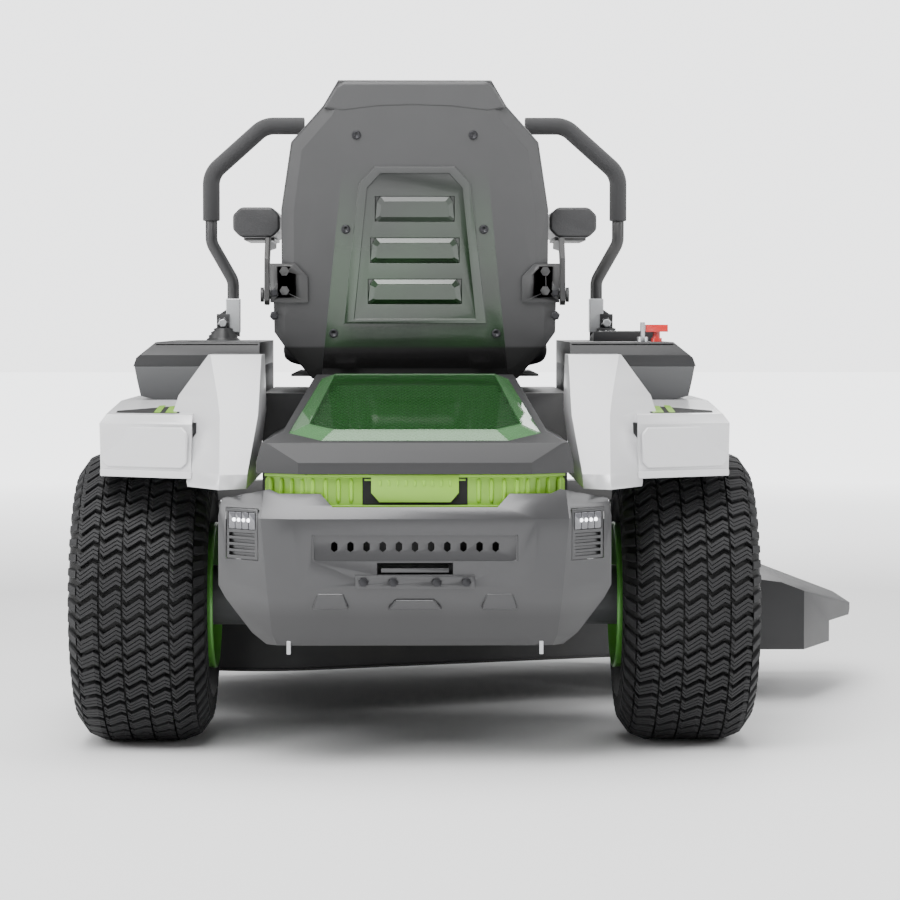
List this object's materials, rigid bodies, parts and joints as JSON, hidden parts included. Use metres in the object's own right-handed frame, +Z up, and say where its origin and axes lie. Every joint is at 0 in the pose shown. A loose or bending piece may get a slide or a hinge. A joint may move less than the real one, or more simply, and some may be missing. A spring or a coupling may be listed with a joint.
{
  "type": "zero turn mower",
  "caption": "Ride-on electric zero turn mower with lap-bar steering, a high-back seat, a lifting side-discharge deck and free casters at the front.",
  "frame": {"origin": "bottom centre of the whole outline, on the ground", "axes": "+X to the driver's right, +Y forwards, +Z up"},
  "size_m": [1.3634, 1.818, 1.0682],
  "materials": {
    "frame_black": "satin black powder coat",
    "bumper_grey": "fine metallic grey powder coat",
    "fender_silver": "semi-gloss light silver",
    "hood_grey": "fine grained dark grey",
    "lid_green": "tinted clear green",
    "grille_black": "perforated black",
    "band_green": "ribbed satin green",
    "console_black": "fine grained black",
    "console_grey": "fine grained mid grey",
    "seat_vinyl": "grained black vinyl",
    "seat_shell_grey": "grained dark grey moulding",
    "steel_bright": "zinc plated",
    "bar_silver": "silver paint",
    "foam_black": "closed-cell foam",
    "tyre_rubber": "turf tread",
    "rim_green": "gloss green",
    "motor_cast": "cast and painted",
    "lamp_black": "black",
    "lens_clear": "clear lens over white lamps",
    "switch_red": "gloss red",
    "screen_black": "dark glass and black surround",
    "pack_dark": "black with green trim",
    "mat_rubber": "ribbed rubber",
    "blade_steel": "dark sharpened steel"
  },
  "bodies": {
    "chassis": {"main_frame": "frame_black", "floor_pan": "frame_black", "foot_mat": "mat_rubber", "seat_support": "frame_black", "seat_rails": "steel_bright", "pivot_brackets": "steel_bright", "drive_motors": "motor_cast", "rear_bumper": "bumper_grey", "lamp_housings": "lamp_black", "lamp_lenses": "lens_clear", "hitch_bracket": "frame_black", "chassis_bolts": "steel_bright", "battery_box": "band_green", "battery_packs": "pack_dark", "console_lid_left": "console_black", "console_lid_right": "console_black", "control_display": "screen_black", "fender_left": "fender_silver", "console_box_left": "console_grey", "fender_right": "fender_silver", "console_box_right": "console_grey"},
    "hood": {"hood_rim": "hood_grey", "hood_window": "lid_green", "hood_grille": "grille_black"},
    "hood_latch": {"hood_handle": "band_green"},
    "seat": {"seat_pan": "console_grey", "seat_cushion": "seat_vinyl", "backrest_shell": "seat_shell_grey", "backrest_cushion": "seat_vinyl", "armrest_brackets": "frame_black"},
    "deck": {"deck_shell": "frame_black", "deck_hangers": "steel_bright", "blade_motors": "motor_cast"},
    "chute": {"discharge_chute": "console_black"},
    "lift_front": {"lift_shaft_front": "frame_black"},
    "lift_rear": {"lift_shaft_rear": "frame_black"},
    "switch": {"blade_switch": "switch_red"},
    "key": {"key_switch": "steel_bright"},
    "wheel_left": {"rear_rim_left": "rim_green", "rear_tyre_left": "tyre_rubber"},
    "caster_left": {"caster_fork_left": "frame_black"},
    "front_wheel_left": {"caster_wheel_left": "tyre_rubber"},
    "blade_bar_left": {"blade_left": "blade_steel"},
    "gauge_left": {"gauge_wheel_left": "foam_black"},
    "lever_left": {"lever_bracket_left": "frame_black"},
    "bar_left": {"lap_bar_left": "bar_silver", "lap_grip_left": "foam_black"},
    "armrest_left": {"armrest_arm_left": "frame_black", "armrest_pad_left": "seat_vinyl"},
    "wheel_right": {"rear_rim_right": "rim_green", "rear_tyre_right": "tyre_rubber"},
    "caster_right": {"caster_fork_right": "frame_black"},
    "front_wheel_right": {"caster_wheel_right": "tyre_rubber"},
    "blade_bar_right": {"blade_right": "blade_steel"},
    "gauge_right": {"gauge_wheel_right": "foam_black"},
    "lever_right": {"lever_bracket_right": "frame_black"},
    "bar_right": {"lap_bar_right": "bar_silver", "lap_grip_right": "foam_black"},
    "armrest_right": {"armrest_arm_right": "frame_black", "armrest_pad_right": "seat_vinyl"}
  },
  "joints": [
    {"name": "deck_lift", "type": "slide", "parent": "chassis", "child": "deck", "axis": [0, 0, 1], "range_m": [-0.03, 0.045]},
    {"name": "lift_front_turn", "type": "hinge", "parent": "chassis", "child": "lift_front", "pos_m": [-0.1325, 0.399, 0.258], "axis": [1, 0, 0], "range_deg": [-14.6, 9.8]},
    {"name": "lift_rear_turn", "type": "hinge", "parent": "chassis", "child": "lift_rear", "pos_m": [-0.1325, 0.119, 0.258], "axis": [1, 0, 0], "range_deg": [-14.6, 9.8]},
    {"name": "chute_hinge", "type": "hinge", "parent": "deck", "child": "chute", "pos_m": [0.4275, 0.124, 0.206], "axis": [0, -1, 0], "range_deg": [0, 80]},
    {"name": "hood_hinge", "type": "hinge", "parent": "chassis", "child": "hood", "pos_m": [-0.1325, -0.4375, 0.574], "axis": [-1, 0, 0], "range_deg": [0, 50]},
    {"name": "hood_latch_turn", "type": "hinge", "parent": "chassis", "child": "hood_latch", "pos_m": [-0.1325, -0.865, 0.44], "axis": [-1, 0, 0], "range_deg": [0, 35], "stiffness_Nm_per_rad": 1},
    {"name": "seat_slide", "type": "slide", "parent": "chassis", "child": "seat", "axis": [0, 1, 0], "range_m": [-0.04, 0.06]},
    {"name": "wheel_left_spin", "type": "hinge", "parent": "chassis", "child": "wheel_left", "pos_m": [-0.5645, -0.501, 0.233], "axis": [1, 0, 0], "continuous": true},
    {"name": "caster_left_swivel", "type": "hinge", "parent": "chassis", "child": "caster_left", "pos_m": [-0.5625, 0.769, 0.33], "axis": [0, 0, 1], "continuous": true},
    {"name": "caster_left_roll", "type": "hinge", "parent": "caster_left", "child": "front_wheel_left", "pos_m": [-0.5625, 0.704, 0.14], "axis": [1, 0, 0], "continuous": true},
    {"name": "blade_left_spin", "type": "hinge", "parent": "deck", "child": "blade_bar_left", "pos_m": [-0.3945, 0.019, 0.104], "axis": [0, 0, 1], "continuous": true},
    {"name": "gauge_left_roll", "type": "hinge", "parent": "deck", "child": "gauge_left", "pos_m": [-0.53946, 0.32986, 0.112], "axis": [1, 0, 0], "continuous": true},
    {"name": "lever_left_drive", "type": "hinge", "parent": "chassis", "child": "lever_left", "pos_m": [-0.4685, -0.101, 0.59], "axis": [1, 0, 0], "range_deg": [-12, 12], "stiffness_Nm_per_rad": 40},
    {"name": "bar_left_swing", "type": "hinge", "parent": "lever_left", "child": "bar_left", "pos_m": [-0.4685, -0.101, 0.671], "axis": [0, -1, 0], "range_deg": [0, 30]},
    {"name": "armrest_left_lift", "type": "hinge", "parent": "seat", "child": "armrest_left", "pos_m": [-0.3755, -0.40259, 0.71815], "axis": [1, 0, 0], "range_deg": [0, 80]},
    {"name": "wheel_right_spin", "type": "hinge", "parent": "chassis", "child": "wheel_right", "pos_m": [0.2995, -0.501, 0.233], "axis": [1, 0, 0], "continuous": true},
    {"name": "caster_right_swivel", "type": "hinge", "parent": "chassis", "child": "caster_right", "pos_m": [0.2975, 0.769, 0.33], "axis": [0, 0, 1], "continuous": true},
    {"name": "caster_right_roll", "type": "hinge", "parent": "caster_right", "child": "front_wheel_right", "pos_m": [0.2975, 0.704, 0.14], "axis": [1, 0, 0], "continuous": true},
    {"name": "blade_right_spin", "type": "hinge", "parent": "deck", "child": "blade_bar_right", "pos_m": [0.1295, 0.199, 0.104], "axis": [0, 0, 1], "continuous": true},
    {"name": "gauge_right_roll", "type": "hinge", "parent": "deck", "child": "gauge_right", "pos_m": [0.301, 0.49605, 0.112], "axis": [1, 0, 0], "continuous": true},
    {"name": "lever_right_drive", "type": "hinge", "parent": "chassis", "child": "lever_right", "pos_m": [0.2035, -0.101, 0.59], "axis": [1, 0, 0], "range_deg": [-12, 12], "stiffness_Nm_per_rad": 40},
    {"name": "bar_right_swing", "type": "hinge", "parent": "lever_right", "child": "bar_right", "pos_m": [0.2035, -0.101, 0.671], "axis": [0, 1, 0], "range_deg": [0, 30]},
    {"name": "armrest_right_lift", "type": "hinge", "parent": "seat", "child": "armrest_right", "pos_m": [0.1105, -0.40259, 0.71815], "axis": [1, 0, 0], "range_deg": [0, 80]},
    {"name": "switch_pull", "type": "slide", "parent": "chassis", "child": "switch", "axis": [0, 0, 1], "range_m": [0, 0.01]},
    {"name": "key_turn", "type": "hinge", "parent": "chassis", "child": "key", "pos_m": [0.2395, -0.441, 0.64], "axis": [0, 0, 1], "range_deg": [0, 60]}
  ],
  "couplings": [
    {"joint": "lift_front_turn", "follows": "deck_lift", "rad_per_m": -5.5964},
    {"joint": "lift_rear_turn", "follows": "deck_lift", "rad_per_m": -5.5964}
  ]
}
